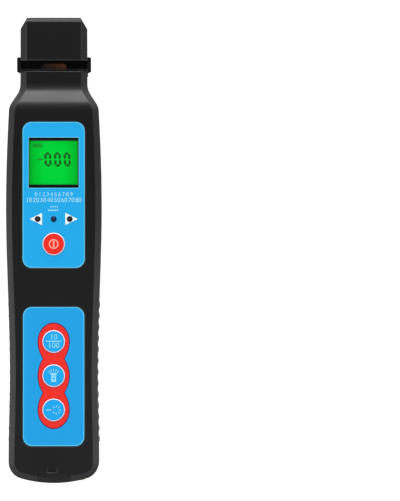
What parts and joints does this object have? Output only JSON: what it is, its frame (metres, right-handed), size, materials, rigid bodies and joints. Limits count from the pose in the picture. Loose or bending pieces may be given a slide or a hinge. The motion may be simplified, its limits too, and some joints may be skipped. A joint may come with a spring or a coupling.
{
  "type": "fibre optic identifier",
  "caption": "Hand-held fibre optic identifier: bevelled body with display and round keys, and a slotted clamping head worked by a trigger on the back.",
  "frame": {"origin": "middle of the footprint, on the plane that the back rests on", "axes": "+Y along the length towards the clamping head, +X across the width, +Z out of the front face"},
  "size_m": [0.0448, 0.218, 0.0293],
  "materials": {
    "chip_black": "matte",
    "shell_black": "fine spark texture, satin",
    "cell_wrap": "printed sleeve",
    "hump_amber": "polished",
    "screw_steel": "black zinc",
    "contact_nickel": "nickel plated",
    "detector_black": "satin",
    "backlight_white": "frosted",
    "frame_black": "satin",
    "display_green": "polished, lit from behind",
    "lens_clear": "polished",
    "rod_steel": "ground",
    "case_black": "fine spark texture, satin",
    "lamp_lens": "diffused",
    "jaw_black": "satin",
    "key_blue": "satin",
    "switch_plastic": "matte",
    "module_brass": "turned",
    "port_ceramic": "plated",
    "film_red_blue": "satin printed film with a red field",
    "board_green": "solder mask",
    "diode_metal": "plated",
    "key_red": "satin",
    "spring_steel": "drawn wire",
    "connector_rubber": "striped",
    "torch_lens": "polished",
    "trigger_black": "satin",
    "film_blue": "satin printed film"
  },
  "bodies": {
    "case": {"amplifier_chip": "chip_black", "battery_left": "cell_wrap", "battery_middle": "cell_wrap", "battery_right": "cell_wrap", "board_screw_1": "screw_steel", "board_screw_2": "screw_steel", "board_screw_3": "screw_steel", "board_screw_4": "screw_steel", "buzzer": "chip_black", "case_screw_1": "screw_steel", "case_screw_2": "screw_steel", "case_screw_3": "screw_steel", "case_screw_4": "screw_steel", "contact_lower_pair": "contact_nickel", "contact_lower_single": "contact_nickel", "contact_upper_pair": "contact_nickel", "contact_upper_single": "contact_nickel", "detector_block": "detector_black", "display_backlight": "backlight_white", "display_frame": "frame_black", "display_glass": "display_green", "display_lens": "lens_clear", "flap_pin": "rod_steel", "front_shell": "case_black", "guide_rod_left": "rod_steel", "guide_rod_right": "rod_steel", "head_cap": "case_black", "head_screw_1": "screw_steel", "head_screw_2": "screw_steel", "indicator_lamp_left": "lamp_lens", "indicator_lamp_middle": "lamp_lens", "indicator_lamp_right": "lamp_lens", "lamp_switch": "switch_plastic", "laser_module": "module_brass", "laser_port": "port_ceramic", "laser_switch": "switch_plastic", "lower_overlay": "film_red_blue", "main_board": "board_green", "photodiode_left": "diode_metal", "photodiode_right": "diode_metal", "power_switch": "switch_plastic", "processor_chip": "chip_black", "rear_shell": "shell_black", "rubber_connector_lower": "connector_rubber", "rubber_connector_upper": "connector_rubber", "torch_lamp": "torch_lens", "unit_switch": "switch_plastic", "upper_overlay": "film_blue"},
    "trigger": {"trigger": "trigger_black", "trigger_screw": "screw_steel", "jaw_carriage": "jaw_black", "bend_hump": "hump_amber", "return_spring_left": "spring_steel", "return_spring_right": "spring_steel"},
    "power_key": {"power_key": "key_red"},
    "unit_key": {"unit_key": "key_blue"},
    "lamp_key": {"lamp_key": "key_blue"},
    "laser_key": {"laser_key": "key_blue"},
    "dust_flap": {"dust_flap": "shell_black"},
    "battery_cover": {"battery_cover": "shell_black"}
  },
  "joints": [
    {"name": "trigger_slide", "type": "slide", "parent": "case", "child": "trigger", "axis": [0, 1, 0], "range_m": [0, 0.0039], "stiffness_N_per_m": 400, "springref_m": -0.004, "deforming": ["return_spring_left", "return_spring_right"]},
    {"name": "power_press", "type": "slide", "parent": "case", "child": "power_key", "axis": [0, 0, -1], "range_m": [0, 0.0004], "stiffness_N_per_m": 400, "springref_m": -0.0004},
    {"name": "unit_press", "type": "slide", "parent": "case", "child": "unit_key", "axis": [0, 0, -1], "range_m": [0, 0.0004], "stiffness_N_per_m": 400, "springref_m": -0.0004},
    {"name": "lamp_press", "type": "slide", "parent": "case", "child": "lamp_key", "axis": [0, 0, -1], "range_m": [0, 0.0004], "stiffness_N_per_m": 400, "springref_m": -0.0004},
    {"name": "laser_press", "type": "slide", "parent": "case", "child": "laser_key", "axis": [0, 0, -1], "range_m": [0, 0.0004], "stiffness_N_per_m": 400, "springref_m": -0.0004},
    {"name": "flap_hinge", "type": "hinge", "parent": "case", "child": "dust_flap", "pos_m": [0, -0.1068, 0.0045], "axis": [1, 0, 0], "range_deg": [0, 90]},
    {"name": "battery_cover_lift", "type": "slide", "parent": "case", "child": "battery_cover", "axis": [0, 0, -1], "range_m": [0, 0.025]}
  ]
}
